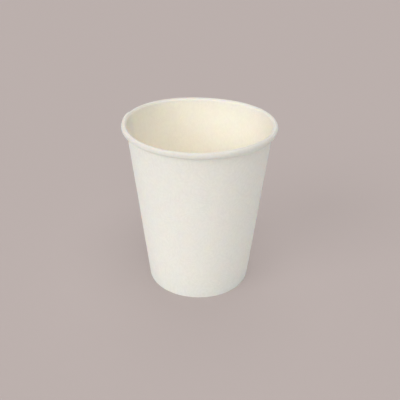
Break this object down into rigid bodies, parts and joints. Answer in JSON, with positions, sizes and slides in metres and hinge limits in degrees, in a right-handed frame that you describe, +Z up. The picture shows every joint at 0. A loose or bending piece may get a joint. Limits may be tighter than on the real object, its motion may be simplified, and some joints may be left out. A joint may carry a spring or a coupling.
{
  "type": "paper coffee cup",
  "caption": "Single-wall paper cup for hot drinks: a wrapped, tapered board wall with a rolled rim and a hemmed foot that clamps a recessed base disc.",
  "frame": {"origin": "centre of the foot ring, in the plane that the cup stands on", "axes": "+Z up along the cup's axis towards its mouth; in the picture's view +X is to the right and +Y points away from the camera"},
  "size_m": [0.08, 0.08, 0.091],
  "materials": {
    "wall_board": "matte uncoated white board outside, satin sealed cream inside",
    "base_board": "satin sealed cream board above, matte board below"
  },
  "bodies": {
    "root": {"side_wall": "wall_board", "base_disc": "base_board"}
  },
  "joints": []
}
